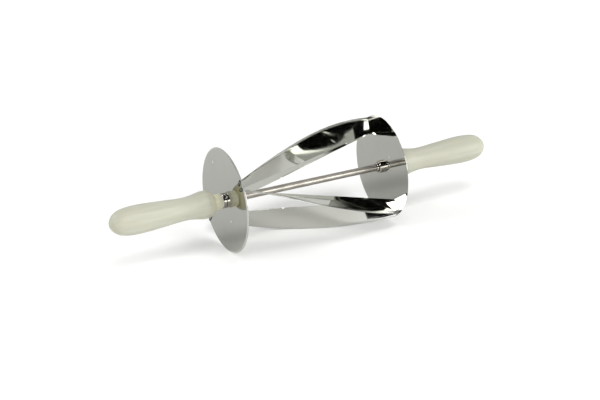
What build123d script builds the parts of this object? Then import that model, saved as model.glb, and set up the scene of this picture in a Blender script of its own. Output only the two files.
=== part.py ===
from build123d import *
from math import cos, hypot, radians, sin
import os

# Rolling pastry cutter: two sharp discs and four twisted blades make a cage that turns
# freely on a steel axle, with a plastic handle fixed on each end of the axle.
# The axle lies along Y, the origin is its middle, +Z is up. All sizes are in mm.
# Angles round the axle are in degrees from +Z towards +X.

# cage
DISC_RADIUS = 60.0
DISC_THICKNESS = 1.2
DISC_BEVEL = 1.8             # width of the ground rim, on the outer face only
EDGE_LAND = 0.2              # flat left on every cutting edge
CUT_HALF = 100.0             # middle of the axle to the inner face of each disc

# blades: cutting edge on the disc radius, straight inner edge
BLADE_THICKNESS = 1.1        # measured in the plane of the discs
BLADE_BEVEL = 2.2
BLADE_INNER_RADIUS = 42.5    # radius of the inner corners at both discs
BLADE_STATIONS = 11
BLADE_ENDS = {               # left edge, right edge, left inner corner, right inner corner
    "upper_near_blade": (45.3, -36.2, 52.0, -43.3),
    "lower_near_blade": (55.3, 134.2, 54.4, 134.6),
    "lower_far_blade": (224.2, 144.0, 227.7, 139.6),
    "upper_far_blade": (235.0, 316.0, 230.1, 312.0),
}
TAB_WIDTH = 7.0
TAB_FROM_EDGE = 2.6          # rim of the disc to the start of the tab
TAB_PROUD = 0.35             # how far the dressed tab stands out of the outer face
SLOT_CLEARANCE = 0.1

# axle
ROD_RADIUS = 4.0
ROD_END = 133.0
ROD_CHAMFER = 0.8
RING_GROOVE_DEPTH = 0.5
RING_START = 91.6            # retaining ring, inner side
RING_LENGTH = 2.5
RING_RADIUS = 5.6

# hub bush: boss against the inner face, spigot through the disc
BOSS_RADIUS = 7.1
BOSS_START = 94.4
BOSS_ROUND = 1.4
SPIGOT_RADIUS = 6.0
SPIGOT_END = 104.6
RUNNING_CLEARANCE = 0.05
ASSEMBLY_CLEARANCE = 0.05

# ring nut on the spigot, against the outer face
NUT_RADIUS = 8.5
NUT_LENGTH = 4.0
NUT_CHAMFER = 0.5
NUT_SLOT_WIDTH = 2.6
NUT_SLOT_DEPTH = 1.3
NUT_SLOTS = 4

# thrust washer between the ring nut and the handle
WASHER_RADIUS = 8.0
WASHER_THICKNESS = 0.8
WASHER_GAP = 0.2

# handle: the profile points are (distance along the axle, radius)
NECK_RADIUS = 9.0
NECK_END = 115.4
SHOULDER_AT = 126.0
SHOULDER_RADIUS = 15.8
GRIP_PROFILE = ((137.6, 14.1), (149.5, 12.85), (163.0, 13.45), (185.0, 15.05))
BELLY_AT = 207.0
BELLY_RADIUS = 16.0
TIP_PROFILE = ((218.7, 15.3), (229.7, 12.3))
TIP = 238.2
HANDLE_BORE_END = 138.0
INSERT_RADIUS = 6.0
INSERT_LENGTH = 25.0
INSERT_GROOVE = (1.0, 3.0)   # depth, width

DISC_OUTER = CUT_HALF + DISC_THICKNESS
WASHER_START = DISC_OUTER + NUT_LENGTH + WASHER_GAP
HANDLE_START = WASHER_START + WASHER_THICKNESS
INSERT_END = HANDLE_START + INSERT_LENGTH

SIDES = {"left": -1, "right": 1}


def on_circle(radius, angle):
    """Return x and z of a point at a radius and an angle round the axle."""
    return radius * sin(radians(angle)), radius * cos(radians(angle))


def cross_plane(y):
    """Return the plane across the axle at y, with local x, y along world X, Z."""
    return Plane(origin=(0, y, 0), x_dir=(1, 0, 0), z_dir=(0, -1, 0))


def save(part, name):
    """Label a finished piece and write its file."""
    part.label = name
    export_step(part, f"parts/{name}.step")


def end_line(ends, side):
    """Return a blade's cutting corner, inner corner and unit direction at one disc."""
    index = 0 if side < 0 else 1
    outer = on_circle(DISC_RADIUS, ends[index])
    inner = on_circle(BLADE_INNER_RADIUS, ends[index + 2])
    width = hypot(outer[0] - inner[0], outer[1] - inner[1])
    along = ((outer[0] - inner[0]) / width, (outer[1] - inner[1]) / width)
    return outer, inner, along


def tab_frame(ends, side):
    """Return the centre of a blade's tab at one disc, and its direction in degrees."""
    outer, _, along = end_line(ends, side)
    reach = TAB_FROM_EDGE + TAB_WIDTH / 2
    centre = (outer[0] - along[0] * reach, outer[1] - along[1] * reach)
    return centre, Vector(1, 0).get_signed_angle(Vector(*along), Vector(0, 0, 1))


def blade_section(ends, y):
    """Return the outline of a blade where it is cut by the plane across the axle at y."""
    part_way = (y + CUT_HALF) / (2 * CUT_HALF)
    outer = on_circle(DISC_RADIUS - EDGE_LAND / 4, ends[0] + (ends[1] - ends[0]) * part_way)
    left_inner = on_circle(BLADE_INNER_RADIUS, ends[2])
    right_inner = on_circle(BLADE_INNER_RADIUS, ends[3])
    inner = tuple(a + (b - a) * part_way for a, b in zip(left_inner, right_inner))
    width = hypot(outer[0] - inner[0], outer[1] - inner[1])
    along = ((outer[0] - inner[0]) / width, (outer[1] - inner[1]) / width)

    def place(distance, offset):
        """Return the point at a distance from the inner edge and an offset across the sheet."""
        return (inner[0] + along[0] * distance - along[1] * offset,
                inner[1] + along[1] * distance + along[0] * offset)

    half = BLADE_THICKNESS / 2
    return [place(0, -half), place(width - BLADE_BEVEL, -half), place(width, -EDGE_LAND / 2),
            place(width, EDGE_LAND / 2), place(width - BLADE_BEVEL, half), place(0, half)]


def make_blade(name, ends):
    """Make one twisted blade with a tab at each end that passes through the disc."""
    with BuildPart() as blade:
        for station in range(BLADE_STATIONS):
            y = CUT_HALF * (2 * station / (BLADE_STATIONS - 1) - 1)
            with BuildSketch(cross_plane(y)):
                with BuildLine():
                    Polyline(*blade_section(ends, y), close=True)
                make_face()
        loft()
        for side in SIDES.values():
            centre, angle = tab_frame(ends, side)
            with BuildSketch(cross_plane(side * CUT_HALF)):
                with Locations(centre):
                    Rectangle(TAB_WIDTH, BLADE_THICKNESS, rotation=angle)
            extrude(amount=-side * (DISC_THICKNESS + TAB_PROUD))
    save(blade.part, name)


def make_disc(name, side):
    """Make one disc: a bevelled rim, a bore for the hub bush and a slot for each blade tab."""
    with BuildPart() as disc:
        with BuildSketch(Plane.XY):
            with BuildLine():
                Polyline(
                    (SPIGOT_RADIUS + ASSEMBLY_CLEARANCE, side * CUT_HALF),
                    (DISC_RADIUS, side * CUT_HALF),
                    (DISC_RADIUS, side * (CUT_HALF + EDGE_LAND)),
                    (DISC_RADIUS - DISC_BEVEL, side * DISC_OUTER),
                    (SPIGOT_RADIUS + ASSEMBLY_CLEARANCE, side * DISC_OUTER),
                    close=True,
                )
            make_face()
        revolve(axis=Axis.Y)
        for ends in BLADE_ENDS.values():
            centre, angle = tab_frame(ends, side)
            with BuildSketch(cross_plane(side * CUT_HALF)):
                with Locations(centre):
                    Rectangle(
                        TAB_WIDTH + 2 * SLOT_CLEARANCE,
                        BLADE_THICKNESS + 2 * SLOT_CLEARANCE,
                        rotation=angle,
                    )
            extrude(amount=DISC_THICKNESS, both=True, mode=Mode.SUBTRACT)
    save(disc.part, name)


def make_hub_bush(name, side):
    """Make the bush that carries one disc on the axle."""
    bore = ROD_RADIUS + RUNNING_CLEARANCE
    with BuildPart() as bush:
        with BuildSketch(Plane.XY):
            with BuildLine():
                Polyline(
                    (bore, side * BOSS_START),
                    (BOSS_RADIUS, side * BOSS_START),
                    (BOSS_RADIUS, side * CUT_HALF),
                    (SPIGOT_RADIUS, side * CUT_HALF),
                    (SPIGOT_RADIUS, side * SPIGOT_END),
                    (bore, side * SPIGOT_END),
                    close=True,
                )
            make_face()
        revolve(axis=Axis.Y)
        rims = bush.edges().filter_by(GeomType.CIRCLE).group_by(SortBy.RADIUS)[-1]
        fillet(rims.sort_by(Axis.Y)[0 if side > 0 else -1], BOSS_ROUND)
    save(bush.part, name)


def make_ring_nut(name, side):
    """Make the slotted ring nut that clamps one disc against its hub bush."""
    start = DISC_OUTER
    end = DISC_OUTER + NUT_LENGTH
    with BuildPart() as nut:
        with BuildSketch(cross_plane(side * start)):
            Circle(NUT_RADIUS)
            Circle(SPIGOT_RADIUS + ASSEMBLY_CLEARANCE, mode=Mode.SUBTRACT)
        extrude(amount=-side * NUT_LENGTH)
        rims = nut.edges().filter_by(GeomType.CIRCLE).group_by(SortBy.RADIUS)[-1]
        chamfer(rims, NUT_CHAMFER)
        with BuildSketch(cross_plane(side * end)):
            with PolarLocations(NUT_RADIUS, NUT_SLOTS, start_angle=45):
                Rectangle(NUT_SLOT_WIDTH, NUT_SLOT_WIDTH)
        extrude(amount=side * NUT_SLOT_DEPTH, mode=Mode.SUBTRACT)
    save(nut.part, name)


def make_thrust_washer(name, side):
    """Make the plain plastic washer that keeps one ring nut off its handle."""
    with BuildPart() as washer:
        with BuildSketch(cross_plane(side * WASHER_START)):
            Circle(WASHER_RADIUS)
            Circle(ROD_RADIUS + ASSEMBLY_CLEARANCE, mode=Mode.SUBTRACT)
        extrude(amount=-side * WASHER_THICKNESS)
    save(washer.part, name)


def make_retaining_ring(name, side):
    """Make the closed ring, swaged into a groove of the axle, that holds the cage in place."""
    seat = ROD_RADIUS - RING_GROOVE_DEPTH + ASSEMBLY_CLEARANCE
    with BuildPart() as ring:
        with BuildSketch(cross_plane(side * RING_START)):
            Circle(RING_RADIUS)
            Circle(seat, mode=Mode.SUBTRACT)
        extrude(amount=-side * RING_LENGTH)
        rims = ring.edges().filter_by(GeomType.CIRCLE).group_by(SortBy.RADIUS)[-1]
        fillet(rims, RING_LENGTH * 0.35)
    save(ring.part, name)


def make_axle_rod():
    """Make the rod: plain, chamfered ends, and a groove for each retaining ring."""
    with BuildPart() as rod:
        with BuildSketch(Plane.XZ):
            Circle(ROD_RADIUS)
        extrude(amount=ROD_END, both=True)
        chamfer(rod.edges().filter_by(GeomType.CIRCLE), ROD_CHAMFER)
        for side in SIDES.values():
            with BuildSketch(cross_plane(side * RING_START)):
                Circle(ROD_RADIUS + RING_GROOVE_DEPTH)
                Circle(ROD_RADIUS - RING_GROOVE_DEPTH, mode=Mode.SUBTRACT)
            extrude(amount=-side * RING_LENGTH, mode=Mode.SUBTRACT)
    save(rod.part, "axle_rod")


def make_handle_insert(name, side):
    """Make the grooved metal bush moulded into one handle."""
    bore = ROD_RADIUS + ASSEMBLY_CLEARANCE
    depth, width = INSERT_GROOVE
    with BuildPart() as insert:
        with BuildSketch(cross_plane(side * HANDLE_START)):
            Circle(INSERT_RADIUS)
            Circle(bore, mode=Mode.SUBTRACT)
        extrude(amount=-side * INSERT_LENGTH)
        for part_way in (0.3, 0.7):
            groove_start = HANDLE_START + INSERT_LENGTH * part_way - width / 2
            with BuildSketch(cross_plane(side * groove_start)):
                Circle(INSERT_RADIUS + depth)
                Circle(INSERT_RADIUS - depth, mode=Mode.SUBTRACT)
            extrude(amount=-side * width, mode=Mode.SUBTRACT)
    save(insert.part, name)


def make_handle(name, side):
    """Make one turned plastic handle, hollow for its insert and the end of the axle."""
    insert_bore = INSERT_RADIUS + ASSEMBLY_CLEARANCE
    rod_bore = ROD_RADIUS + ASSEMBLY_CLEARANCE
    with BuildPart() as handle:
        with BuildSketch(Plane.XY):
            with BuildLine():
                Polyline(
                    (0, side * TIP),
                    (0, side * HANDLE_BORE_END),
                    (rod_bore, side * HANDLE_BORE_END),
                    (rod_bore, side * INSERT_END),
                    (insert_bore, side * INSERT_END),
                    (insert_bore, side * HANDLE_START),
                    (NECK_RADIUS, side * HANDLE_START),
                    (NECK_RADIUS, side * NECK_END),
                )
                Spline(
                    (NECK_RADIUS, side * NECK_END),
                    (SHOULDER_RADIUS, side * SHOULDER_AT),
                    tangents=((1, 0), (0, side)),
                )
                Spline(
                    (SHOULDER_RADIUS, side * SHOULDER_AT),
                    *[(radius, side * at) for at, radius in GRIP_PROFILE],
                    (BELLY_RADIUS, side * BELLY_AT),
                    tangents=((0, side), (0, side)),
                )
                Spline(
                    (BELLY_RADIUS, side * BELLY_AT),
                    *[(radius, side * at) for at, radius in TIP_PROFILE],
                    (0, side * TIP),
                    tangents=((0, side), (-1, 0)),
                )
            make_face()
        revolve(axis=Axis.Y)
    save(handle.part, name)


os.makedirs("parts", exist_ok=True)
make_axle_rod()
for blade_name, blade_ends in BLADE_ENDS.items():
    make_blade(blade_name, blade_ends)
for side_name, side_sign in SIDES.items():
    make_disc(f"{side_name}_disc", side_sign)
    make_hub_bush(f"{side_name}_hub_bush", side_sign)
    make_ring_nut(f"{side_name}_ring_nut", side_sign)
    make_retaining_ring(f"{side_name}_retaining_ring", side_sign)
    make_thrust_washer(f"{side_name}_thrust_washer", side_sign)
    make_handle_insert(f"{side_name}_handle_insert", side_sign)
    make_handle(f"{side_name}_handle", side_sign)
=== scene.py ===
"""Looks of a rolling pastry cutter, built round its packed design.

The design gives each piece its place, size and motion. This script makes finer meshes of the
same size for the pieces that show, dresses every piece, and sets up a small studio. Lengths
are in metres. The axle lies along Y, +Z is up, and angles round the axle run from +Z to +X.
"""

import logging
import math
from dataclasses import dataclass, field
from enum import Enum
from typing import Dict, List, Optional, Sequence, Tuple, Union

import bmesh
import bpy
import numpy as np
from mathutils import Euler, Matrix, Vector


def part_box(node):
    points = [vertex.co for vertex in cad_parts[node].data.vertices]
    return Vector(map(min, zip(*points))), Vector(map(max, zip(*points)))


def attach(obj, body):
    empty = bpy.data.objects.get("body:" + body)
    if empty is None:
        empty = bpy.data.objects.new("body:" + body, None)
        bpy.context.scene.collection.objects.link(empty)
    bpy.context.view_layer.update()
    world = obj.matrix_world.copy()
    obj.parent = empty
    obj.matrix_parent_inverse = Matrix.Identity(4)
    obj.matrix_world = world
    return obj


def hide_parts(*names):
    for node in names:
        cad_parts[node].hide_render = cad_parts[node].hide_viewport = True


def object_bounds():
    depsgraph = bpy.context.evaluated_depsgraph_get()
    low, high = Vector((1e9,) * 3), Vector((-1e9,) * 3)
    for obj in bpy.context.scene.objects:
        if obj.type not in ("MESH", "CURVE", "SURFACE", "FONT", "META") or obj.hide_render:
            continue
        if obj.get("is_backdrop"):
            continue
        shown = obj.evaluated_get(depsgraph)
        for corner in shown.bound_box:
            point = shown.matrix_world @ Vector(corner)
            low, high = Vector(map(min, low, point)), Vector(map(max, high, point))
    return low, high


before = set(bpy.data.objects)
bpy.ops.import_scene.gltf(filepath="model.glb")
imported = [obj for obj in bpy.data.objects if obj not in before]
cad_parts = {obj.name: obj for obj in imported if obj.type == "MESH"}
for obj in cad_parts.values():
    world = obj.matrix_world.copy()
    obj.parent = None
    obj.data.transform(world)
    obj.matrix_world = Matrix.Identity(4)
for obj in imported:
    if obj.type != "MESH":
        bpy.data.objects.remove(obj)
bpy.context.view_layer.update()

LOG = logging.getLogger("pastry_cutter")
MM = 0.001
ON_AXLE = 1e-7  # a radius under this is a point on the axle
LONGEST_CUT = 0.45  # the most of a straight run that one rounding takes

Number = Union[int, float]
Point2 = Tuple[float, float]
Triple = Tuple[float, float, float]
Key = Union[int, str]


class Side(Enum):
    """The two ends of the tool, by the sign of Y."""

    LEFT = -1
    RIGHT = 1

    @property
    def word(self) -> str:
        """The side's name, as the design's nodes use it."""
        return self.name.lower()


class Body(Enum):
    """The rigid bodies of the design."""

    AXLE = "axle_assembly"
    CAGE = "cutting_cage"


class Slot(Enum):
    """The material slots of the record."""

    POLISHED = "polished_steel"
    TURNED = "turned_steel"
    HANDLE = "handle_plastic"
    WASHER = "washer_plastic"
    INSERT = "insert_brass"


class Crease(Enum):
    """The angle between faces, in degrees, above which the edge stays sharp."""

    SHEET = 16.0
    CUT = 18.0
    TURNED = 25.0
    MOULDED = 45.0
    ROUNDED = 50.0
    WELD = 80.0


@dataclass(frozen=True)
class Pattern:
    """A noise: its scale along each axis, its number of layers and how strong the fine ones are."""

    scales: Triple
    detail: float = 2.0
    rough: float = 0.5


class Grain(Enum):
    """The way that a sheet was rolled and polished."""

    ALONG_AXLE = Pattern((900.0, 14.0, 900.0), 3.0, 0.6)
    ACROSS_DISC = Pattern((26.0, 400.0, 700.0), 3.0, 0.6)


# ---------------------------------------------------------------- node arithmetic


class Wire:
    """One node output that can be used in arithmetic."""

    def __init__(self, graph: "Graph", socket: bpy.types.NodeSocket) -> None:
        """Keep the socket and the graph that it belongs to."""
        self.graph = graph
        self.socket = socket

    def _math(self, operation: str, *operands: "Feed") -> "Wire":
        """Add a Math node.

        Args:
            operation: The node's operation.
            operands: Its operands, in order.

        Returns:
            The result.
        """
        return self.graph.add("ShaderNodeMath", {"operation": operation}, dict(enumerate(operands)))

    def __add__(self, other: "Feed") -> "Wire":
        """Return self + other."""
        return self._math("ADD", self, other)

    __radd__ = __add__

    def __sub__(self, other: "Feed") -> "Wire":
        """Return self - other."""
        return self._math("SUBTRACT", self, other)

    def __rsub__(self, other: "Feed") -> "Wire":
        """Return other - self."""
        return self._math("SUBTRACT", other, self)

    def __mul__(self, other: "Feed") -> "Wire":
        """Return self * other."""
        return self._math("MULTIPLY", self, other)

    __rmul__ = __mul__

    def __truediv__(self, other: "Feed") -> "Wire":
        """Return self / other."""
        return self._math("DIVIDE", self, other)

    def __neg__(self) -> "Wire":
        """Return -self."""
        return self._math("MULTIPLY", self, -1.0)

    def __gt__(self, other: "Feed") -> "Wire":
        """Return 1 where self is greater than other, and 0 elsewhere."""
        return self._math("GREATER_THAN", self, other)

    def above_zero(self) -> "Wire":
        """Return self where it is positive, and 0 elsewhere."""
        return self._math("MAXIMUM", self, 0.0)

    def at_most(self, other: "Feed") -> "Wire":
        """Return the smaller of self and other."""
        return self._math("MINIMUM", self, other)

    def at_least(self, other: "Feed") -> "Wire":
        """Return the larger of self and other."""
        return self._math("MAXIMUM", self, other)

    def size(self) -> "Wire":
        """Return self without its sign."""
        return self._math("ABSOLUTE", self)

    def sine(self) -> "Wire":
        """Return the sine of self, in radians."""
        return self._math("SINE", self)

    def cosine(self) -> "Wire":
        """Return the cosine of self, in radians."""
        return self._math("COSINE", self)

    def root(self) -> "Wire":
        """Return the square root of self."""
        return self._math("SQRT", self)

    def heading(self, other: "Feed") -> "Wire":
        """Return the angle whose sine goes with self and cosine with other."""
        return self._math("ARCTAN2", self, other)

    def ramp(self, low: float, high: float) -> "Wire":
        """Return 0 below low and 1 above high, turning smoothly between them."""
        return self.graph.add(
            "ShaderNodeMapRange",
            {"interpolation_type": "SMOOTHSTEP"},
            {"Value": self, "From Min": low, "From Max": high},
        )

    def output(self, key: Key) -> "Wire":
        """Return another output of the same node."""
        return Wire(self.graph, self.socket.node.outputs[key])


Feed = Union[Wire, Number, Sequence[float], bool, bpy.types.ID]


class Graph:
    """A node tree that is written as Python expressions."""

    def __init__(self, tree: bpy.types.NodeTree) -> None:
        """Start on an empty tree."""
        self.tree = tree
        tree.nodes.clear()

    def add(
        self,
        kind: str,
        settings: Optional[Dict[str, object]] = None,
        feeds: Optional[Dict[Key, Feed]] = None,
        output: Key = 0,
    ) -> Wire:
        """Add one node.

        Args:
            kind: The node's type.
            settings: Its properties, set first.
            feeds: Values or links for its inputs, by name or number.
            output: The output to return.

        Returns:
            The chosen output.
        """
        node = self.tree.nodes.new(kind)
        for name, value in (settings or {}).items():
            setattr(node, name, value)
        for key, value in (feeds or {}).items():
            self.feed(node.inputs[key], value)
        return Wire(self, node.outputs[output]) if node.outputs else Wire(self, node.inputs[0])

    def feed(self, socket: bpy.types.NodeSocket, value: Feed) -> None:
        """Link a socket, or set its value.

        Args:
            socket: The input.
            value: A wire to link, or a plain value.
        """
        if isinstance(value, Wire):
            self.tree.links.new(value.socket, socket)
        else:
            socket.default_value = value

    def vector(self, x: Feed = 0.0, y: Feed = 0.0, z: Feed = 0.0) -> Wire:
        """Return a vector made of three values."""
        return self.add("ShaderNodeCombineXYZ", {}, {"X": x, "Y": y, "Z": z})

    def parts(self, vector: Feed) -> Tuple[Wire, Wire, Wire]:
        """Return the three values of a vector."""
        split = self.add("ShaderNodeSeparateXYZ", {}, {"Vector": vector})
        return split, split.output("Y"), split.output("Z")

    def blend(self, share: Feed, first: Feed, second: Feed) -> Wire:
        """Return a colour between two others, each a wire or three numbers."""
        ends = [end if isinstance(end, Wire) else (*end, 1.0) for end in (first, second)]
        settings = {"data_type": "RGBA", "clamp_factor": True}
        return self.add("ShaderNodeMix", settings, {0: share, 6: ends[0], 7: ends[1]}, output=2)


class Shader(Graph):
    """A material's node tree, ending in one principled surface."""

    def __init__(self, name: str) -> None:
        """Make an empty material."""
        self.material = bpy.data.materials.new(name)
        self.material.use_nodes = True
        super().__init__(self.material.node_tree)
        self.place = self.add("ShaderNodeTexCoord", {}, {}, output="Object")

    def noise(self, pattern: Pattern) -> Wire:
        """Return a noise pattern from 0 to 1."""
        place = self.add("ShaderNodeMapping", {}, {"Vector": self.place, "Scale": pattern.scales})
        feeds = {"Vector": place, "Scale": 1.0, "Detail": pattern.detail, "Roughness": pattern.rough}
        return self.add("ShaderNodeTexNoise", {}, feeds)

    def bump(self, height: Feed, distance: float) -> Wire:
        """Return a normal that is bent by a height, in metres times distance."""
        return self.add("ShaderNodeBump", {}, {"Height": height, "Distance": distance, "Strength": 1.0})

    def surface(self, feeds: Dict[Key, Feed]) -> bpy.types.Material:
        """Finish the material.

        Args:
            feeds: Values or links for the principled surface.

        Returns:
            The material.
        """
        principled = self.add("ShaderNodeBsdfPrincipled", {}, feeds)
        self.add("ShaderNodeOutputMaterial", {}, {"Surface": principled})
        return self.material


class Recipe(Graph):
    """A Geometry Nodes tree with named inputs."""

    KINDS = {
        float: "NodeSocketFloat",
        int: "NodeSocketInt",
        bpy.types.Material: "NodeSocketMaterial",
        bpy.types.Mesh: "NodeSocketGeometry",
    }

    def __init__(self, name: str) -> None:
        """Make an empty tree with one geometry output."""
        super().__init__(bpy.data.node_groups.new(name, "GeometryNodeTree"))
        self.tree.interface.new_socket("Geometry", in_out="OUTPUT", socket_type="NodeSocketGeometry")
        self.entry = self.tree.nodes.new("NodeGroupInput")
        self.values: Dict[str, object] = {}

    def input(self, name: str, kind: type) -> Wire:
        """Declare an input and return its wire."""
        self.tree.interface.new_socket(name, in_out="INPUT", socket_type=self.KINDS[kind])
        return Wire(self, self.entry.outputs[name])

    def inputs(self, kind: type, *names: str) -> List[Wire]:
        """Declare several inputs of one kind and return their wires."""
        return [self.input(name, kind) for name in names]

    def sizes(self, owner: object, *names: str) -> List[Wire]:
        """Declare an input for each of an object's sizes, and keep their values for the runs.

        Args:
            owner: The object.
            names: The sizes' names, which the inputs take.

        Returns:
            The inputs' wires.
        """
        self.values.update({name: getattr(owner, name) for name in names})
        return [self.input(name, type(self.values[name])) for name in names]

    def join(self, pieces: Sequence[Wire]) -> Wire:
        """Return several geometries as one."""
        joined = self.add("GeometryNodeJoinGeometry")
        for piece in pieces:
            self.feed(joined.socket.node.inputs[0], piece)
        return joined

    def moved(self, geometry: Wire, middle: Feed, turned: Feed) -> Wire:
        """Return geometry turned about the origin and moved to a new middle."""
        feeds = {"Geometry": geometry, "Translation": middle, "Rotation": turned}
        return self.add("GeometryNodeTransform", {}, feeds)

    def finish(self, geometry: Wire, *dressings: Tuple[Wire, Feed]) -> None:
        """End the tree.

        Args:
            geometry: What was made.
            dressings: Materials, each with the faces that take it. A later one covers an earlier.
        """
        dressed = self.add("GeometryNodeRealizeInstances", {}, {"Geometry": geometry})
        for material, faces in dressings:
            feeds = {"Geometry": dressed, "Selection": faces, "Material": material}
            dressed = self.add("GeometryNodeSetMaterial", {}, feeds)
        self.add("NodeGroupOutput", {}, {"Geometry": dressed})

    def run(self, start: bpy.types.Object, values: Dict[str, object]) -> bpy.types.Object:
        """Put the tree on an object as a modifier.

        Args:
            start: The object.
            values: The inputs that are not kept sizes, by name.

        Returns:
            The same object.
        """
        modifier = start.modifiers.new(self.tree.name, "NODES")
        modifier.node_group = self.tree
        given = {**self.values, **values}
        for item in self.tree.interface.items_tree:
            if item.in_out == "INPUT" and item.name in given:
                modifier[item.identifier] = given[item.name]
        return start


# ---------------------------------------------------------------- mesh making


def round_corners(points: Sequence[Point2], radius: float, steps: int = 3) -> List[Point2]:
    """Round every corner of a closed outline.

    Args:
        points: The corners, in order.
        radius: The radius of each rounding.
        steps: The number of straight runs in each rounding.

    Returns:
        The new outline.
    """
    made: List[Point2] = []
    corners = [np.array(point, float) for point in points]
    for index, corner in enumerate(corners):
        before, after = corners[index - 1] - corner, corners[(index + 1) % len(corners)] - corner
        before_run, after_run = np.linalg.norm(before), np.linalg.norm(after)
        before, after = before / before_run, after / after_run
        half = math.acos(float(np.clip(before @ after, -1.0, 1.0))) / 2
        cut = min(radius / math.tan(half), LONGEST_CUT * before_run, LONGEST_CUT * after_run)
        start, end = corner + before * cut, corner + after * cut
        for step in range(steps + 1):
            share = step / steps
            near = (1 - share) ** 2 * start + 2 * share * (1 - share) * corner + share**2 * end
            made.append((float(near[0]), float(near[1])))
    return made


def smooth_run(points: Sequence[Point2], first: Point2, last: Point2, steps: int) -> List[Point2]:
    """Run a smooth curve through points.

    Args:
        points: The points, in order.
        first: The direction at the first point.
        last: The direction at the last point.
        steps: The number of straight runs between two points.

    Returns:
        Points along the curve, without the last.
    """
    knots = np.array(points, float)
    gaps = np.linalg.norm(np.diff(knots, axis=0), axis=1)
    count = len(knots)
    system = np.zeros((count, count))
    target = np.zeros((count, 2))
    system[0, 0] = system[-1, -1] = 1.0
    target[0], target[-1] = first, last
    for k in range(1, count - 1):
        system[k, k - 1] = gaps[k]
        system[k, k] = 2 * (gaps[k - 1] + gaps[k])
        system[k, k + 1] = gaps[k - 1]
        slope_before = (knots[k] - knots[k - 1]) / gaps[k - 1]
        slope_after = (knots[k + 1] - knots[k]) / gaps[k]
        target[k] = 3 * (gaps[k] * slope_before + gaps[k - 1] * slope_after)
    slopes = np.linalg.solve(system, target)
    made: List[Point2] = []
    for k in range(count - 1):
        for step in range(steps):
            t = step / steps
            place = (
                (2 * t**3 - 3 * t**2 + 1) * knots[k]
                + (t**3 - 2 * t**2 + t) * gaps[k] * slopes[k]
                + (3 * t**2 - 2 * t**3) * knots[k + 1]
                + (t**3 - t**2) * gaps[k] * slopes[k + 1]
            )
            made.append((float(place[0]), float(place[1])))
    return made


def new_object(name: str, data: bpy.types.ID) -> bpy.types.Object:
    """Put a mesh, a lamp or a camera into the scene."""
    made = bpy.data.objects.new(name, data)
    bpy.context.scene.collection.objects.link(made)
    return made


def closed(name: str, shape: bmesh.types.BMesh) -> bpy.types.Object:
    """Turn a closed shape's faces outwards and put it into the scene."""
    bmesh.ops.recalc_face_normals(shape, faces=shape.faces)
    mesh = bpy.data.meshes.new(name)
    shape.to_mesh(mesh)
    shape.free()
    return new_object(name, mesh)


def turned(name: str, outline: Sequence[Point2], segments: int) -> bpy.types.Object:
    """Turn a closed outline round the axle.

    Args:
        name: The object's name.
        outline: Radius and Y of each point, in order.
        segments: The number of faces round the axle.

    Returns:
        A closed shape.
    """
    shape = bmesh.new()
    angles = [2 * math.pi * k / segments for k in range(segments)]
    rings = []
    for radius, along in outline:
        if radius < ON_AXLE:
            rings.append([shape.verts.new((0.0, along, 0.0))] * segments)
        else:
            places = [(radius * math.sin(a), along, radius * math.cos(a)) for a in angles]
            rings.append([shape.verts.new(place) for place in places])
    for here, there in zip(rings, rings[1:] + rings[:1]):
        for k in range(segments):
            following = (k + 1) % segments
            distinct = list(dict.fromkeys([here[k], here[following], there[following], there[k]]))
            if len(distinct) > 2:
                shape.faces.new(distinct)
    return closed(name, shape)


def block(name: str, corners: Sequence[Triple]) -> bpy.types.Object:
    """Make a box from its eight corners, the first four being one face in order."""
    shape = bmesh.new()
    points = [shape.verts.new(corner) for corner in corners]
    walls = [(0, 1, 5, 4), (1, 2, 6, 5), (2, 3, 7, 6), (3, 0, 4, 7)]
    for wall in [(3, 2, 1, 0), (4, 5, 6, 7), *walls]:
        shape.faces.new([points[k] for k in wall])
    return closed(name, shape)


def ring_outline(bore: float, radius: float, low: float, high: float) -> List[Point2]:
    """Return the outline of a plain ring between two places along Y."""
    return [(bore, low), (radius, low), (radius, high), (bore, high)]


def outwards(side: Side, piece: str) -> Point2:
    """Return the Y where a piece of one side begins and ends, going away from the middle."""
    low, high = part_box(f"{side.word}_{piece}")
    return (low.y, high.y) if side is Side.RIGHT else (high.y, low.y)


def settled(made: bpy.types.Object, crease: Crease) -> bpy.types.Object:
    """Apply an object's modifiers and smooth its faces.

    Args:
        made: The object.
        crease: Which edges stay sharp.

    Returns:
        The same object, with a plain mesh and no modifiers.
    """
    bpy.context.view_layer.update()
    depsgraph = bpy.context.evaluated_depsgraph_get()
    mesh = bpy.data.meshes.new_from_object(made.evaluated_get(depsgraph))
    mesh.name = made.name
    made.modifiers.clear()
    made.data = mesh
    mesh.shade_smooth()
    mesh.set_sharp_from_angle(angle=math.radians(crease.value))
    return made


def cut_away(made: bpy.types.Object, tools: Sequence[bpy.types.Object]) -> None:
    """Cut tools out of an object, and delete them.

    Args:
        made: The object to cut.
        tools: The shapes to take away.
    """
    for tool in tools:
        modifier = made.modifiers.new(tool.name, "BOOLEAN")
        modifier.operation = "DIFFERENCE"
        modifier.solver = "EXACT"
        modifier.object = tool
    settled(made, Crease.CUT)
    for tool in tools:
        bpy.data.objects.remove(tool)


def deliver(
    made: bpy.types.Object,
    body: Body,
    slot: Slot,
    node: Optional[str] = None,
    material: Optional[bpy.types.Material] = None,
) -> None:
    """Hand a finished piece to the frame.

    Args:
        made: The piece.
        body: The body that it moves with.
        slot: Its material slot in the record. Not used.
        node: The design's node that it stands for, if there is one.
        material: Its material, unless it has its own.
    """
    if material:
        made.data.materials.append(material)
    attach(made, body.value)
    if node:
        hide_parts(node)
    LOG.info("%s rides on %s, %d faces", made.name, body.value, len(made.data.polygons))
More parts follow.
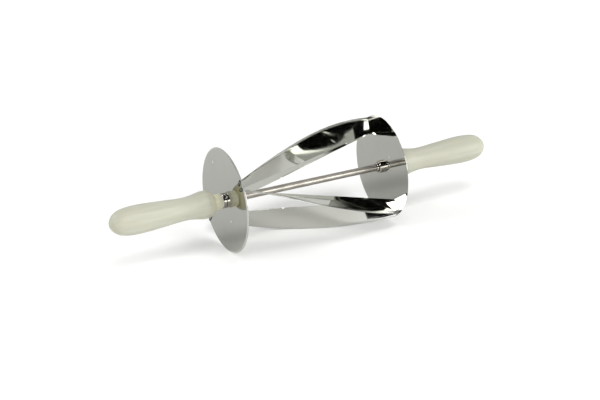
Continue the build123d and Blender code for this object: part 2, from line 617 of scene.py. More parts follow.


# ---------------------------------------------------------------- finishes


# Two nicks on the left disc's outer face and one on the right disc's inner face. Each is a rougher spot with
# a painted glint in its colour.
DISC_NICK_GLINTS = (
    (-28.9 * MM, -101.2 * MM, 35.3 * MM),
    (16.4 * MM, -101.2 * MM, -19.2 * MM),
    (16.2 * MM, 100.0 * MM, 18.1 * MM),
)


@dataclass(frozen=True)
class Finish:
    """What every finish has: a colour, a roughness and the height of its relief in metres."""

    name: str
    colour: Triple
    roughness: float
    relief: float
    metallic: float = 1.0

    def surface(
        self, shader: Shader, tone: Feed, rough: Feed, height: Wire, more: Optional[Dict[Key, Feed]] = None
    ) -> bpy.types.Material:
        """Finish the material.

        Args:
            shader: Its node tree.
            tone: Its colour, with the patterns in it.
            rough: What the patterns add to its roughness.
            height: Its relief, as a share of the finish's height.
            more: Values for other inputs, by name.

        Returns:
            The material.
        """
        return shader.surface(
            {
                "Base Color": tone,
                "Metallic": self.metallic,
                "Roughness": self.roughness + rough,
                "Normal": shader.bump(height, self.relief),
                **(more or {}),
            }
        )


@dataclass(frozen=True)
class MirrorSteel(Finish):
    """Mirror-polished stainless sheet, with rolling lines, faint waves, wiped marks and rough nicks that
    carry a painted glint.
    """

    roughness: float = 0.03
    relief: float = 0.04 * MM
    grain: Grain = Grain.ALONG_AXLE
    line_height: float = 0.002
    line_tone: float = 0.12
    line_roughness: float = 0.02
    wave: Pattern = Pattern((9.0, 9.0, 9.0), 1.0, 0.4)
    mark: Pattern = Pattern((55.0, 20.0, 40.0), 5.0, 0.62)
    mark_between: Point2 = (0.5, 0.75)
    mark_tone: float = 0.35
    mark_roughness: float = 0.045
    dulling: float = 0.87
    nick_glints: Tuple[Triple, ...] = ()
    nick_glint_size: Triple = (1.3 * MM, 1.0 * MM, 1.9 * MM)
    nick_glint_between: Point2 = (0.3, 1.0)
    # Near-white colour in the nicks: a painted glint, not the steel's own tone.
    painted_glint_colour: Triple = (0.9, 0.9, 0.88)
    nick_roughness: float = 0.3

    def nick_glint_mask(self, shader: Shader) -> Feed:
        """Return 1 in the small rubbed nicks, which also carry a painted glint, and 0 elsewhere."""
        mask: Feed = 0.0
        for spot in self.nick_glints:
            feeds = {"Vector": shader.place, "Location": spot, "Scale": self.nick_glint_size}
            place = shader.add("ShaderNodeMapping", {"vector_type": "TEXTURE"}, feeds)
            away = shader.add("ShaderNodeVectorMath", {"operation": "LENGTH"}, {0: place}, output="Value")
            mask = (1.0 - away.ramp(*self.nick_glint_between)) + mask
        return mask

    def material(self) -> bpy.types.Material:
        """Return the material."""
        shader = Shader(self.name)
        nick_and_glint = self.nick_glint_mask(shader)
        lines, waves = shader.noise(self.grain.value), shader.noise(self.wave)
        marks = shader.noise(self.mark).ramp(*self.mark_between)
        dulled = tuple(channel * self.dulling for channel in self.colour)
        tone = shader.blend(marks * self.mark_tone + lines * self.line_tone, self.colour, dulled)
        # Painted glint: the nicks' colour is blended towards near white, while their roughness rises too.
        bright = shader.blend(nick_and_glint, tone, self.painted_glint_colour)
        rough = marks * self.mark_roughness + lines * self.line_roughness + nick_and_glint * self.nick_roughness
        return self.surface(shader, bright, rough, waves + lines * self.line_height)


@dataclass(frozen=True)
class GroundEdge(Finish):
    """A cutting bevel, ground across the edge and left brighter and rougher than the sheet."""

    colour: Triple = (0.70, 0.70, 0.675)
    roughness: float = 0.2
    relief: float = 0.02 * MM
    worn: Triple = (0.56, 0.56, 0.54)
    wear: Pattern = Pattern((140.0, 140.0, 140.0), 3.0)
    stroke: Pattern = Pattern((1500.0, 1500.0, 1500.0), 2.0, 0.7)
    stroke_roughness: float = 0.12

    def material(self) -> bpy.types.Material:
        """Return the material."""
        shader = Shader(self.name)
        strokes = shader.noise(self.stroke)
        tone = shader.blend(shader.noise(self.wear), self.colour, self.worn)
        return self.surface(shader, tone, strokes * self.stroke_roughness, strokes)


@dataclass(frozen=True)
class TurnedSteel(Finish):
    """Bright bar or a turned part, with fine tool lines round the axle."""

    colour: Triple = (0.45, 0.435, 0.40)
    roughness: float = 0.07
    relief: float = 0.012 * MM
    stain: Triple = (0.27, 0.25, 0.215)
    cloud: Pattern = Pattern((60.0, 60.0, 60.0), 3.0)
    cloud_between: Point2 = (0.42, 0.72)
    cloud_tone: float = 0.5
    cloud_roughness: float = 0.06
    ring: Pattern = Pattern((6.0, 5200.0, 6.0), 2.0, 0.6)
    ring_roughness: float = 0.1
    ring_height: float = 0.6
    drawn: Pattern = Pattern((900.0, 9.0, 900.0), 3.0, 0.6)
    drawn_height: float = 0.4

    def material(self) -> bpy.types.Material:
        """Return the material."""
        shader = Shader(self.name)
        rings, drawn = shader.noise(self.ring), shader.noise(self.drawn)
        cloud = shader.noise(self.cloud).ramp(*self.cloud_between)
        tone = shader.blend(cloud * self.cloud_tone, self.colour, self.stain)
        rough = rings * self.ring_roughness + cloud * self.cloud_roughness
        return self.surface(shader, tone, rough, rings * self.ring_height + drawn * self.drawn_height)


@dataclass(frozen=True)
class WeldBead(Finish):
    """Bare weld metal, rippled and tinted straw and brown by the heat."""

    colour: Triple = (0.15, 0.142, 0.125)
    roughness: float = 0.28
    relief: float = 0.06 * MM
    scorched: Triple = (0.014, 0.011, 0.008)
    heat: Pattern = Pattern((420.0, 420.0, 420.0), 3.0)
    heat_between: Point2 = (0.3, 0.55)
    ripple: Pattern = Pattern((2600.0, 2600.0, 2600.0))
    ripple_roughness: float = 0.2

    def material(self) -> bpy.types.Material:
        """Return the material."""
        shader = Shader(self.name)
        heat, ripples = shader.noise(self.heat).ramp(*self.heat_between), shader.noise(self.ripple)
        tone = shader.blend(heat, self.colour, self.scorched)
        return self.surface(shader, tone, ripples * self.ripple_roughness, ripples)


@dataclass(frozen=True)
class MouldedPlastic(Finish):
    """Natural polyethylene, translucent, with faint flow lines and a neck that is yellower and also painted
    lighter to lift its shade.
    """

    colour: Triple = (0.36, 0.36, 0.30)
    roughness: float = 0.33
    relief: float = 0.3 * MM
    metallic: float = 0.0
    # Neck colour: yellower with age, and much lighter than the body as painted light that lifts the shade
    # beside the disc.
    aged_and_painted_light: Triple = (0.68, 0.645, 0.455)
    neck_at: float = 113.0 * MM
    clear_at: float = 124.0 * MM
    neck_tone: float = 0.85
    cloud: Pattern = Pattern((34.0, 16.0, 34.0), 3.0)
    cloud_tone: float = 0.08
    cloud_height: float = 0.8
    flow: Triple = (0.405, 0.407, 0.35)
    line: Pattern = Pattern((150.0, 7.0, 150.0), 3.0, 0.6)
    line_between: Point2 = (0.35, 0.75)
    line_height: float = 0.2
    rubbed: Pattern = Pattern((240.0, 60.0, 240.0), 4.0, 0.65)
    rubbed_roughness: float = 0.14
    skin: Pattern = Pattern((900.0, 900.0, 900.0))
    skin_height: float = 0.05
    refraction: float = 1.5
    shine: float = 0.4
    scatter: Triple = (1.0, 0.95, 0.75)
    scatter_depth: float = 12.0 * MM

    def material(self) -> bpy.types.Material:
        """Return the material."""
        shader = Shader(self.name)
        along = shader.parts(shader.place)[1].size()
        towards_neck = 1.0 - along.ramp(self.neck_at, self.clear_at)
        cloud, lines = shader.noise(self.cloud), shader.noise(self.line)
        rubbed, skin = shader.noise(self.rubbed), shader.noise(self.skin)
        body = shader.blend(lines.ramp(*self.line_between), self.colour, self.flow)
        # Towards the neck the colour turns to the aged tone, partly a real yellowing and partly painted light
        # over the shade there.
        tone = shader.blend(towards_neck * self.neck_tone + cloud * self.cloud_tone, body, self.aged_and_painted_light)
        waves = cloud * self.cloud_height + lines * self.line_height
        more: Dict[Key, Feed] = {
            "IOR": self.refraction,
            "Specular IOR Level": self.shine,
            "Subsurface Weight": 1.0,
            "Subsurface Radius": self.scatter,
            "Subsurface Scale": self.scatter_depth,
        }
        return self.surface(
            shader,
            tone,
            rubbed * self.rubbed_roughness,
            waves + (skin + rubbed) * self.skin_height,
            more,
        )


@dataclass(frozen=True)
class PlainPlastic(Finish):
    """A plain cut washer of white plastic."""

    colour: Triple = (0.80, 0.79, 0.74)
    roughness: float = 0.42
    relief: float = 0.03 * MM
    metallic: float = 0.0
    soiled: Triple = (0.62, 0.60, 0.54)
    grit: Pattern = Pattern((1200.0, 1200.0, 1200.0), 3.0)
    grit_tone: float = 0.3
    grit_roughness: float = 0.15

    def material(self) -> bpy.types.Material:
        """Return the material."""
        shader = Shader(self.name)
        grit = shader.noise(self.grit)
        tone = shader.blend(grit * self.grit_tone, self.colour, self.soiled)
        return self.surface(shader, tone, grit * self.grit_roughness, grit)


@dataclass(frozen=True)
class TurnedBrass(Finish):
    """The turned metal bush inside a handle."""

    colour: Triple = (0.74, 0.56, 0.28)
    roughness: float = 0.3
    relief: float = 0.02 * MM
    shade: Triple = (0.50, 0.36, 0.16)
    ring: Pattern = Pattern((6.0, 3000.0, 6.0))
    ring_tone: float = 0.4
    ring_roughness: float = 0.1

    def material(self) -> bpy.types.Material:
        """Return the material."""
        shader = Shader(self.name)
        rings = shader.noise(self.ring)
        tone = shader.blend(rings * self.ring_tone, self.colour, self.shade)
        return self.surface(shader, tone, rings * self.ring_roughness, rings)


@dataclass(frozen=True)
class StudioPaper(Finish):
    """The pale floor, which the metal sees a little darker than the eye does."""

    colour: Triple = (0.90, 0.90, 0.895)
    roughness: float = 0.6
    relief: float = 0.04 * MM
    metallic: float = 0.0
    shade: Triple = (0.84, 0.84, 0.83)
    fibre: Pattern = Pattern((700.0, 700.0, 700.0), 3.0)
    fibre_tone: float = 0.15
    in_mirrors: Triple = (0.642, 0.642, 0.628)

    def material(self) -> bpy.types.Material:
        """Return the material."""
        shader = Shader(self.name)
        fibre = shader.noise(self.fibre)
        tone = shader.blend(fibre * self.fibre_tone, self.colour, self.shade)
        mirrored = shader.add("ShaderNodeLightPath", {}, {}, output="Is Glossy Ray")
        return self.surface(shader, shader.blend(mirrored, tone, self.in_mirrors), 0.0, fibre)


# ---------------------------------------------------------------- the cage


@dataclass(frozen=True)
class BladeEnds:
    """Angles round the axle, in degrees, where a blade's edge and inner corner meet the discs."""

    node: str
    left_edge: float
    right_edge: float
    left_corner: float
    right_corner: float

    def corners(self, side: Side) -> Tuple[float, float]:
        """Return the edge's and the inner corner's angle at one disc, in radians."""
        if side is Side.LEFT:
            return math.radians(self.left_edge), math.radians(self.left_corner)
        return math.radians(self.right_edge), math.radians(self.right_corner)


BLADES = (
    BladeEnds("upper_near_blade", 45.3, -36.2, 52.0, -43.3),
    BladeEnds("lower_near_blade", 55.3, 134.2, 54.4, 134.6),
    BladeEnds("lower_far_blade", 224.2, 144.0, 227.7, 139.6),
    BladeEnds("upper_far_blade", 235.0, 316.0, 230.1, 312.0),
)


def heading_of(span_x: Wire, span_z: Wire) -> Tuple[Wire, Wire, Wire]:
    """Return the direction of a line across the axle, as x and z, and its length."""
    length = (span_x * span_x + span_z * span_z).root()
    return span_x / length, span_z / length, length


def around(radius: Feed, angle: Wire) -> Tuple[Wire, Wire]:
    """Return the x and z of a point at an angle round the axle."""
    return radius * angle.sine(), radius * angle.cosine()


def tab_place(tree: Recipe, radii: Sequence[Wire], ends: Sequence[Wire], back: Wire, at: Wire) -> List[Wire]:
    """Find where one tab goes.

    Args:
        tree: The tree that needs the tab.
        radii: How far the blade's edge and its inner corner are from the axle.
        ends: The angles at which they meet the disc.
        back: How far the tab's middle is from the edge.
        at: The Y of the tab's middle.

    Returns:
        The tab's middle, and how it is turned.
    """
    (outer_x, outer_z), (inner_x, inner_z) = (around(radius, end) for radius, end in zip(radii, ends))
    along_x, along_z, _ = heading_of(outer_x - inner_x, outer_z - inner_z)
    middle = tree.vector(outer_x - along_x * back, at, outer_z - along_z * back)
    return [middle, tree.vector(y=(-along_z).heading(along_x))]


@dataclass
class CuttingBlades:
    """The four twisted blades, each with a tab through either disc."""

    edge_radius: float = 59.95 * MM
    corner_radius: float = 42.5 * MM
    half_length: float = 100.0 * MM
    sheet: float = 1.1 * MM
    bevel: float = 2.2 * MM
    land: float = 0.2 * MM
    tab_length: float = 7.0 * MM
    tab_from_edge: float = 2.6 * MM
    tab_depth: float = 1.55 * MM
    broken_edge: float = 0.1 * MM
    broken_steps: int = 2
    broken_above: float = 50.0
    stations: int = 201
    rows: int = 14

    def recipe(self) -> Recipe:
        """Build the tree that twists a sheet between the discs.

        Returns:
            A tree with the blade's sizes, angles and materials as inputs.
        """
        tree = Recipe("twisted_blade")
        stations, rows, half_length, sheet = tree.sizes(self, "stations", "rows", "half_length", "sheet")
        bevel, land, tab_length = tree.sizes(self, "bevel", "land", "tab_length")
        tab_from_edge, tab_depth = tree.sizes(self, "tab_from_edge", "tab_depth")
        radii = tree.sizes(self, "edge_radius", "corner_radius")
        ends = [tree.inputs(float, f"{side.word}_edge", f"{side.word}_corner") for side in Side]
        face, edge = tree.inputs(bpy.types.Material, "face", "edge")

        box = {"Size": (1.0, 1.0, 1.0), "Vertices X": stations, "Vertices Y": rows, "Vertices Z": 2}
        long_way, broad_way, thick_way = tree.parts(tree.add("GeometryNodeInputPosition"))
        share, across = long_way + 0.5, broad_way + 0.5
        marked = tree.add(
            "GeometryNodeStoreNamedAttribute",
            {"data_type": "FLOAT", "domain": "POINT"},
            {"Geometry": tree.add("GeometryNodeMeshCube", {}, box), "Name": "across", "Value": across},
        )
        body_share = (rows - 2.0) / (rows - 1.0)
        past_body = (across - body_share).above_zero() / (1.0 - body_share)

        (left_edge, left_corner), (right_edge, right_corner) = ends
        outer_x, outer_z = around(radii[0], left_edge + (right_edge - left_edge) * share)
        (start_x, start_z), (end_x, end_z) = around(radii[1], left_corner), around(radii[1], right_corner)
        inner_x = start_x + (end_x - start_x) * share
        inner_z = start_z + (end_z - start_z) * share
        along_x, along_z, width = heading_of(outer_x - inner_x, outer_z - inner_z)
        reach = (across / body_share).at_most(1.0) * (width - bevel) + past_body * bevel
        offset = thick_way * (sheet - past_body * (sheet - land))
        spot = tree.vector(
            inner_x + along_x * reach + along_z * offset,
            (share - 0.5) * 2.0 * half_length,
            inner_z + along_z * reach - along_x * offset,
        )
        pieces = [tree.add("GeometryNodeSetPosition", {}, {"Geometry": marked, "Position": spot})]

        tab = tree.add("GeometryNodeMeshCube", {}, {"Size": tree.vector(tab_length, tab_depth, sheet)})
        back = tab_from_edge + tab_length * 0.5
        for side, angles in zip(Side, ends):
            at = (half_length + tab_depth * 0.5) * float(side.value)
            pieces.append(tree.moved(tab, *tab_place(tree, radii, angles, back, at)))
        marks = tree.add("GeometryNodeInputNamedAttribute", {"data_type": "FLOAT"}, {"Name": "across"})
        tree.finish(tree.join(pieces), (face, True), (edge, marks > body_share))
        return tree

    def build(self, face: bpy.types.Material, edge: bpy.types.Material) -> None:
        """Make the four blades.

        Args:
            face: The finish of the sheet.
            edge: The finish of the cutting bevels.
        """
        tree = self.recipe()
        for ends in BLADES:
            values: Dict[str, object] = {"face": face, "edge": edge}
            for side in Side:
                values[f"{side.word}_edge"], values[f"{side.word}_corner"] = ends.corners(side)
            made = tree.run(new_object(f"{ends.node}_sheet", bpy.data.meshes.new(ends.node)), values)
            rounding = made.modifiers.new("broken_edges", "BEVEL")
            rounding.width = self.broken_edge
            rounding.segments = self.broken_steps
            rounding.limit_method = "ANGLE"
            rounding.angle_limit = math.radians(self.broken_above)
            deliver(settled(made, Crease.SHEET), Body.CAGE, Slot.POLISHED, ends.node)


@dataclass
class CuttingDiscs:
    """The two discs, with a ground rim, a bore and four tab slots each."""

    radius: float = 60.0 * MM
    thickness: float = 1.2 * MM
    bevel: float = 1.8 * MM
    land: float = 0.2 * MM
    rim_chamfer: float = 0.05 * MM
    bore: float = 6.05 * MM
    slot_clearance: float = 0.1 * MM
    slanted: Point2 = (0.05, 0.98)
    segments: int = 360
    blades: CuttingBlades = field(default_factory=CuttingBlades)

    def outline(self, side: Side, inner: float) -> List[Point2]:
        """Return the disc's outline, given the Y of its inner face."""
        sign = side.value
        outer = inner + sign * self.thickness
        return [
            (self.bore, inner),
            (self.radius - self.rim_chamfer, inner),
            (self.radius, inner + sign * self.rim_chamfer),
            (self.radius, inner + sign * self.land),
            (self.radius - self.bevel, outer),
            (self.bore, outer),
        ]

    def slot_tool(self, ends: BladeEnds, side: Side) -> bpy.types.Object:
        """Return the shape that cuts the slot for one tab."""
        sizes = self.blades
        edge_angle, corner_angle = ends.corners(side)
        outer = np.array((math.sin(edge_angle), math.cos(edge_angle))) * sizes.edge_radius
        inner = np.array((math.sin(corner_angle), math.cos(corner_angle))) * sizes.corner_radius
        along = (outer - inner) / np.linalg.norm(outer - inner)
        across = np.array((-along[1], along[0]))
        middle = outer - along * (sizes.tab_from_edge + sizes.tab_length / 2)
        half_long = sizes.tab_length / 2 + self.slot_clearance
        half_wide = sizes.sheet / 2 + self.slot_clearance
        signs = ((-1, -1), (1, -1), (1, 1), (-1, 1))
        flat = [middle + along * a * half_long + across * b * half_wide for a, b in signs]
        near = side.value * (sizes.half_length - self.thickness)
        far = side.value * (sizes.half_length + 2 * self.thickness)
        corners = [(point[0], y, point[1]) for y in (near, far) for point in flat]
        return block(f"{ends.node}_slot_tool", corners)

    def build(self, face: bpy.types.Material, edge: bpy.types.Material) -> None:
        """Make both discs.

        Args:
            face: The finish of the sheet.
            edge: The finish of the ground rim.
        """
        for side in Side:
            node = f"{side.word}_disc"
            outline = self.outline(side, outwards(side, "disc")[0])
            made = turned(f"{node}_plate", outline, self.segments)
            cut_away(made, [self.slot_tool(ends, side) for ends in BLADES])
            made.data.materials.clear()
            made.data.materials.append(face)
            made.data.materials.append(edge)
            for polygon in made.data.polygons:
                middle = Vector((polygon.center.x, polygon.center.z)).length
                slanted = self.slanted[0] < abs(polygon.normal.y) < self.slanted[1]
                polygon.material_index = int(slanted and middle > self.radius - self.bevel)
            deliver(made, Body.CAGE, Slot.POLISHED, node)


@dataclass
class TabWelds:
    """The small weld run round the end of each blade's tab, on the discs' outer faces."""

    run_radius: float = 0.75 * MM
    corner: float = 1.0 * MM
    corner_steps: int = 5
    ripple: float = 0.3 * MM
    ripple_scale: float = 1100.0
    clearance: float = 0.5 * MM
    steps: int = 96
    sides: int = 10
    blades: CuttingBlades = field(default_factory=CuttingBlades)

    def recipe(self) -> Recipe:
        """Build the tree that lays a weld run round each tab of one disc.

        Returns:
            A tree with the run's sizes, the disc's outer face and each tab's angles as inputs.
        """
        tree = Recipe("weld_runs")
        corner, corner_steps, run_radius = tree.sizes(self, "corner", "corner_steps", "run_radius")
        ripple, ripple_scale, clearance = tree.sizes(self, "ripple", "ripple_scale", "clearance")
        steps, sides = tree.sizes(self, "steps", "sides")
        tab_length, tab_from_edge, sheet = tree.sizes(self.blades, "tab_length", "tab_from_edge", "sheet")
        radii = tree.sizes(self.blades, "edge_radius", "corner_radius")
        face_at, metal = tree.input("face_at", float), tree.input("metal", bpy.types.Material)

        box = {"Width": tab_length + clearance * 2.0, "Height": sheet + clearance * 2.0}
        path = tree.add("GeometryNodeCurvePrimitiveQuadrilateral", {}, box)
        fillet = {"Curve": path, "Radius": corner, "Count": corner_steps}
        soft = tree.add("GeometryNodeFilletCurve", {"mode": "POLY"}, fillet)
        even = tree.add("GeometryNodeResampleCurve", {}, {"Curve": soft, "Count": steps})
        ring = tree.add("GeometryNodeCurvePrimitiveCircle", {}, {"Resolution": sides, "Radius": run_radius})
        tube = tree.add("GeometryNodeCurveToMesh", {}, {"Curve": even, "Profile Curve": ring})
        flat = tree.moved(tube, (0.0, 0.0, 0.0), (math.pi / 2, 0.0, 0.0))
        back = tab_from_edge + tab_length * 0.5
        runs = []
        for ends in BLADES:
            angles = tree.inputs(float, f"{ends.node}_edge", f"{ends.node}_corner")
            runs.append(tree.moved(flat, *tab_place(tree, radii, angles, back, face_at)))

        at = tree.add("GeometryNodeInputPosition")
        noise = {"Vector": at, "Scale": ripple_scale, "Detail": 1.0}
        uneven = tree.add("ShaderNodeTexNoise", {}, noise) - 0.5
        normal = tree.add("GeometryNodeInputNormal")
        push = tree.add("ShaderNodeVectorMath", {"operation": "SCALE"}, {0: normal, "Scale": uneven * ripple})
        feeds = {"Geometry": tree.join(runs), "Offset": push}
        tree.finish(tree.add("GeometryNodeSetPosition", {}, feeds), (metal, True))
        return tree

    def build(self, metal: bpy.types.Material) -> None:
        """Make the runs on both discs.

        Args:
            metal: The finish of the weld.
        """
        tree = self.recipe()
        for side in Side:
            values: Dict[str, object] = {"face_at": outwards(side, "disc")[1], "metal": metal}
            for ends in BLADES:
                values[f"{ends.node}_edge"], values[f"{ends.node}_corner"] = ends.corners(side)
            made = new_object(f"{side.word}_tab_welds", bpy.data.meshes.new("tab_welds"))
            deliver(settled(tree.run(made, values), Crease.WELD), Body.CAGE, Slot.TURNED)


# ---------------------------------------------------------------- axle and hubs


@dataclass
class Axle:
    """The bar and the two rings that keep the cage in its place on it."""

    radius: float = 4.0 * MM
    chamfer: float = 0.8 * MM
    groove: float = 0.5 * MM
    ring_radius: float = 5.6 * MM
    ring_bore: float = 3.55 * MM
    ring_round: float = 0.85 * MM
    segments: int = 96

    def build(self, drawn: bpy.types.Material, steel: bpy.types.Material) -> None:
        """Make the bar and its rings.

        Args:
            drawn: The finish of the bar.
            steel: The finish of the rings.
        """
        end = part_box("axle_rod")[1].y
        rings = {side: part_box(f"{side.word}_retaining_ring") for side in Side}
        neck, floor = self.radius - self.chamfer, self.radius - self.groove
        outline: List[Point2] = [(0.0, -end), (neck, -end), (self.radius, -end + self.chamfer)]
        for low, high in rings.values():
            outline += [(self.radius, low.y), (floor, low.y), (floor, high.y), (self.radius, high.y)]
        outline += [(self.radius, end - self.chamfer), (neck, end), (0.0, end)]
        bar = settled(turned("axle_bar", outline, self.segments), Crease.TURNED)
        deliver(bar, Body.AXLE, Slot.TURNED, "axle_rod", drawn)
        for side, (low, high) in rings.items():
            corners = ring_outline(self.ring_bore, self.ring_radius, low.y, high.y)
            rounded = round_corners(corners, self.ring_round, steps=6)
            ring = settled(turned(f"{side.word}_stop_ring", rounded, self.segments), Crease.ROUNDED)
            deliver(ring, Body.AXLE, Slot.TURNED, f"{side.word}_retaining_ring", steel)


@dataclass
class Hubs:
    """The bush and ring nut that clamp each disc, and the washer beside them."""

    bore: float = 4.05 * MM
    bore_chamfer: float = 0.3 * MM
    boss_radius: float = 7.1 * MM
    boss_length: float = 5.6 * MM
    boss_round: float = 1.4 * MM
    boss_steps: int = 9
    spigot_radius: float = 6.0 * MM
    nut_radius: float = 8.5 * MM
    nut_bore: float = 6.05 * MM
    nut_chamfer: float = 0.5 * MM
    nut_round: float = 0.12 * MM
    nut_slots: int = 4
    nut_slot_width: float = 2.6 * MM
    nut_slot_depth: float = 1.3 * MM
    washer_radius: float = 8.0 * MM
    washer_round: float = 0.12 * MM
    segments: int = 96

    def bush(self, side: Side, steel: bpy.types.Material) -> None:
        """Make one hub bush."""
        sign = side.value
        start, end = outwards(side, "hub_bush")
        shoulder = start + sign * self.boss_length
        rounding = [
            (
                self.boss_radius - self.boss_round * (1 - math.sin(angle)),
                start + sign * self.boss_round * (1 - math.cos(angle)),
            )
            for angle in np.linspace(0.0, math.pi / 2, self.boss_steps)
        ]
        outline = [(self.bore + self.bore_chamfer, start), *rounding, (self.boss_radius, shoulder)]
        outline += [(self.spigot_radius, shoulder), (self.spigot_radius, end), (self.bore, end)]
        outline.append((self.bore, start + sign * self.bore_chamfer))
        made = settled(turned(f"{side.word}_bush", outline, self.segments), Crease.TURNED)
        deliver(made, Body.CAGE, Slot.TURNED, f"{side.word}_hub_bush", steel)

    def nut_recipe(self) -> Recipe:
        """Build the tree that cuts evenly spaced slots in a ring.

        Returns:
            A tree with the ring, the number of slots and their sizes as inputs.
        """
        tree = Recipe("slotted_ring")
        ring = tree.input("ring", bpy.types.Mesh)
        count, radius = tree.sizes(self, "nut_slots", "nut_radius")
        width, depth = tree.sizes(self, "nut_slot_width", "nut_slot_depth")
        height, steel = tree.input("outer_face", float), tree.input("steel", bpy.types.Material)
        spots = tree.add("GeometryNodeMeshCircle", {}, {"Vertices": count, "Radius": radius})
        upright = tree.moved(spots, tree.vector(y=height), (math.pi / 2, math.pi / 4, 0.0))
        tool = tree.add("GeometryNodeMeshCube", {}, {"Size": tree.vector(width, depth * 2.0, width)})
        tools = tree.add("GeometryNodeInstanceOnPoints", {}, {"Points": upright, "Instance": tool})
        real = tree.add("GeometryNodeRealizeInstances", {}, {"Geometry": tools})
        cut = tree.add("GeometryNodeMeshBoolean", {"operation": "DIFFERENCE"}, {0: ring, 1: real})
        tree.finish(cut, (steel, True))
        return tree

    def nut(self, side: Side, tree: Recipe, steel: bpy.types.Material) -> None:
        """Make one slotted ring nut."""
        low, high = (corner.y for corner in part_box(f"{side.word}_ring_nut"))
        edge, chamfer = self.nut_radius, self.nut_chamfer
        corners = [(self.nut_bore, low), (edge - chamfer, low), (edge, low + chamfer)]
        corners += [(edge, high - chamfer), (edge - chamfer, high), (self.nut_bore, high)]
        made = turned(f"{side.word}_nut", round_corners(corners, self.nut_round, steps=2), self.segments)
        tree.run(made, {"outer_face": outwards(side, "ring_nut")[1], "steel": steel})
        deliver(settled(made, Crease.TURNED), Body.CAGE, Slot.TURNED, f"{side.word}_ring_nut")

    def washer(self, side: Side, plastic: bpy.types.Material) -> None:
        """Make one thrust washer."""
        low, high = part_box(f"{side.word}_thrust_washer")
        corners = ring_outline(self.bore, self.washer_radius, low.y, high.y)
        rounded = round_corners(corners, self.washer_round)
        made = settled(turned(f"{side.word}_washer", rounded, self.segments), Crease.ROUNDED)
        deliver(made, Body.AXLE, Slot.WASHER, f"{side.word}_thrust_washer", plastic)

    def build(self, steel: bpy.types.Material, plastic: bpy.types.Material) -> None:
        """Make the bushes, nuts and washers.

        Args:
            steel: The finish of the bushes and nuts.
            plastic: The finish of the washers.
        """
        tree = self.nut_recipe()
        for side in Side:
            self.bush(side, steel)
            self.nut(side, tree, steel)
            self.washer(side, plastic)


# ---------------------------------------------------------------- handles


@dataclass
class Handles:
    """The two moulded handles. Profile points are distance along the axle and radius."""

    neck_radius: float = 9.0 * MM
    neck_end: float = 115.4 * MM
    shoulder: Point2 = (126.0 * MM, 15.8 * MM)
    grip: Tuple[Point2, ...] = (
        (137.6 * MM, 14.1 * MM),
        (149.5 * MM, 12.85 * MM),
        (163.0 * MM, 13.45 * MM),
        (185.0 * MM, 15.05 * MM),
    )
    belly: Point2 = (207.0 * MM, 16.0 * MM)
    tip_run: Tuple[Point2, ...] = ((218.7 * MM, 15.3 * MM), (229.7 * MM, 12.3 * MM))
    bore: float = 6.05 * MM
    bore_end: float = 138.0 * MM
    neck_round: float = 0.6 * MM
    steps: int = 14
    grip_steps: int = 12
    segments: int = 128

    def outline(self, side: Side) -> List[Point2]:
        """Return a handle's outline as radius and Y."""
        sign = side.value
        start, tip = outwards(side, "handle")
        shoulder, belly, *others = [
            (radius, sign * along) for along, radius in (self.shoulder, self.belly, *self.grip, *self.tip_run)
        ]
        grip, tip_run = others[: len(self.grip)], others[len(self.grip) :]
        neck = (self.neck_radius, sign * self.neck_end)
        outline = [(0.0, sign * self.bore_end), (self.bore, sign * self.bore_end), (self.bore, start)]
        outline += [(self.neck_radius - self.neck_round, start)]
        outline += [(self.neck_radius, start + sign * self.neck_round)]
        outline += smooth_run([neck, shoulder], (1.0, 0.0), (0.0, sign), self.steps)
        outline += smooth_run([shoulder, *grip, belly], (0.0, sign), (0.0, sign), self.grip_steps)
        outline += smooth_run([belly, *tip_run, (0.0, tip)], (0.0, sign), (-1.0, 0.0), self.steps)
        outline.append((0.0, tip))
        return outline

    def build(self, plastic: bpy.types.Material) -> None:
        """Make both handles.

        Args:
            plastic: Their finish.
        """
        for side in Side:
            made = settled(turned(f"{side.word}_grip", self.outline(side), self.segments), Crease.MOULDED)
            deliver(made, Body.AXLE, Slot.HANDLE, f"{side.word}_handle", plastic)


# ---------------------------------------------------------------- studio


@dataclass(frozen=True)
class Softbox:
    """One area lamp, which points at the tool."""

    name: str
    place: Triple
    size: Point2
    power: float

    def build(self) -> None:
        """Hang the lamp."""
        lamp = bpy.data.lights.new(self.name, "AREA")
        lamp.shape = "RECTANGLE"
        lamp.size, lamp.size_y = self.size
        lamp.energy = self.power
        made = new_object(self.name, lamp)
        made.location = self.place
        made.rotation_euler = (-Vector(self.place)).to_track_quat("-Z", "Y").to_euler()
        made.visible_camera = False


def direction(azimuth: float, elevation: float, distance: float) -> Triple:
    """Return the place seen from the tool at an azimuth from +X and an elevation, in degrees."""
    round_by, up_by = math.radians(azimuth), math.radians(elevation)
    level = distance * math.cos(up_by)
    return (level * math.cos(round_by), level * math.sin(round_by), distance * math.sin(up_by))


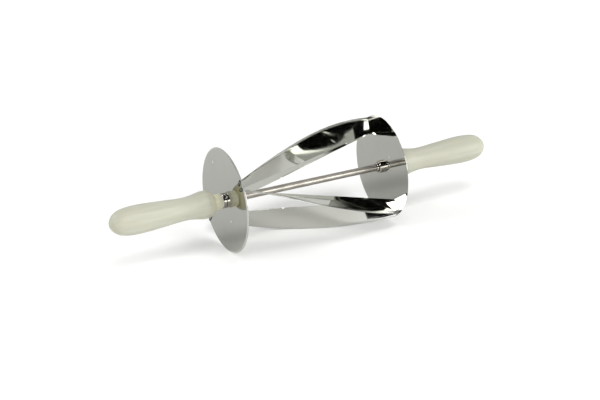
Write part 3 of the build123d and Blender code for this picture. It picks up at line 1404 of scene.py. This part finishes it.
@dataclass
class Studio:
    """The floor, lamps, surroundings and camera."""

    floor_reach: float = 6.0
    floor_gap: Point2 = (0.12, 0.56)
    dark_side: Triple = (0.004, 0.004, 0.003)
    pale_side: Triple = (0.72, 0.72, 0.70)
    ambient: Triple = (0.55, 0.55, 0.55)
    backdrop: Triple = (1.0, 1.0, 1.0)
    pale_heading: Point2 = (-0.8, 0.6)
    pale_between: Point2 = (0.02, 0.2)
    low_wall_heading: Point2 = (-0.375, -0.927)
    low_wall_between: Point2 = (0.72, 0.80)
    low_wall_top: Point2 = (0.2, 0.26)
    lamps: Tuple[Softbox, ...] = (
        Softbox("overhead_softbox", direction(0.0, 69.0, 5.0), (2.7, 1.5), 84.0),
        Softbox("front_softbox", direction(36.0, 20.0, 6.0), (4.1, 2.9), 270.0),
        Softbox("rear_softbox", direction(-125.0, 42.0, 5.0), (1.6, 1.2), 60.0),
        Softbox("window_softbox", direction(-86.0, 32.0, 1.6), (0.34, 0.28), 3.6),
        Softbox("camera_side_softbox", direction(-25.0, 10.0, 1.7), (0.76, 0.62), 8.0),
        Softbox("slim_softbox", direction(-47.0, 40.0, 1.7), (0.10, 0.24), 0.5),
        Softbox("low_softbox", direction(-65.0, 5.0, 1.9), (0.20, 0.30), 0.9),
    )
    azimuth: float = 62.478
    elevation: float = 25.134
    distance: float = 2.00072
    shift_right: float = -5.805 * MM
    shift_up: float = -19.368 * MM
    lens: float = 105.89
    sensor: float = 36.0

    def floor(self) -> None:
        """Lay the floor under the discs. It is left open near the tool on the room's dark side."""
        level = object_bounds()[0].z
        far, (start, near) = self.floor_reach, self.floor_gap
        mesh = bpy.data.meshes.new("floor")
        outline = [(-far, -far), (start, -far), (start, -near), (near, -near), (near, 0.0), (far, 0.0)]
        outline += [(far, far), (-far, far)]
        mesh.from_pydata([(x, y, level) for x, y in outline], [], [range(len(outline))])
        mesh.materials.append(StudioPaper("studio_paper").material())
        new_object("studio_floor", mesh)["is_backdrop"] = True

    def surroundings(self) -> None:
        """Light the room evenly, and let the metal see a pale side and a dark side."""
        world = bpy.data.worlds.new("studio_room")
        bpy.context.scene.world = world
        world.use_nodes = True
        room = Graph(world.node_tree)
        x, y, z = room.parts(room.add("ShaderNodeTexCoord", {}, {}, output="Generated"))
        facing = x * self.pale_heading[0] + y * self.pale_heading[1]
        side_on = x * self.low_wall_heading[0] + y * self.low_wall_heading[1]
        low_wall = side_on.ramp(*self.low_wall_between) * (1.0 - z.ramp(*self.low_wall_top))
        pale = facing.ramp(*self.pale_between).at_least(low_wall)
        ray = room.add("ShaderNodeLightPath", {}, {}, output="Is Diffuse Ray")
        lit = room.blend(ray, room.blend(pale, self.dark_side, self.pale_side), self.ambient)
        tone = room.blend(ray.output("Is Camera Ray"), lit, self.backdrop)
        glow = room.add("ShaderNodeBackground", {}, {"Color": tone})
        room.add("ShaderNodeOutputWorld", {}, {"Surface": glow})

    def camera(self) -> None:
        """Set the camera at its stand."""
        turn_up, turn_round = math.radians(90.0 - self.elevation), math.radians(self.azimuth)
        lens = bpy.data.cameras.new("camera")
        lens.lens, lens.sensor_width = self.lens, self.sensor
        lens.clip_start, lens.clip_end = 0.05, 60.0
        made = new_object("camera", lens)
        made.rotation_euler = Euler((turn_up, 0.0, turn_round), "XYZ")
        offset = Vector((self.shift_right, self.shift_up, self.distance))
        made.location = made.rotation_euler.to_matrix() @ offset
        bpy.context.scene.camera = made

    def build(self) -> None:
        """Set up the studio."""
        self.floor()
        self.surroundings()
        for lamp in self.lamps:
            lamp.build()
        self.camera()
        bpy.context.scene.view_settings.view_transform = "Standard"
        LOG.info("studio: %d lamps", len(self.lamps))


def dress_inserts() -> None:
    """Give the handle inserts, which stay as designed, their finish."""
    brass = TurnedBrass("turned_brass").material()
    for side in Side:
        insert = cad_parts[f"{side.word}_handle_insert"]
        insert.data.materials.clear()
        insert.data.materials.append(brass)
        LOG.info("%s keeps its designed shape", insert.name)


def main() -> None:
    """Build the tool and its studio."""
    logging.basicConfig(level=logging.INFO, format="%(message)s")
    Studio().build()
    blade_steel = MirrorSteel("polished_blade_steel", (0.69, 0.692, 0.652)).material()
    disc_finish = MirrorSteel(
        "polished_disc_steel", (0.49, 0.492, 0.46), grain=Grain.ACROSS_DISC, nick_glints=DISC_NICK_GLINTS
    )
    ground = GroundEdge("ground_edge").material()
    turned = TurnedSteel("turned_steel").material()
    bar = TurnedSteel("bright_bar", (0.375, 0.356, 0.318), 0.31, stain=(0.215, 0.20, 0.172)).material()
    CuttingBlades().build(blade_steel, ground)
    CuttingDiscs().build(disc_finish.material(), ground)
    TabWelds().build(WeldBead("weld_bead").material())
    Axle().build(bar, turned)
    Hubs().build(turned, PlainPlastic("washer_plastic").material())
    Handles().build(MouldedPlastic("moulded_handle_plastic").material())
    dress_inserts()


if __name__ == "__main__":
    main()
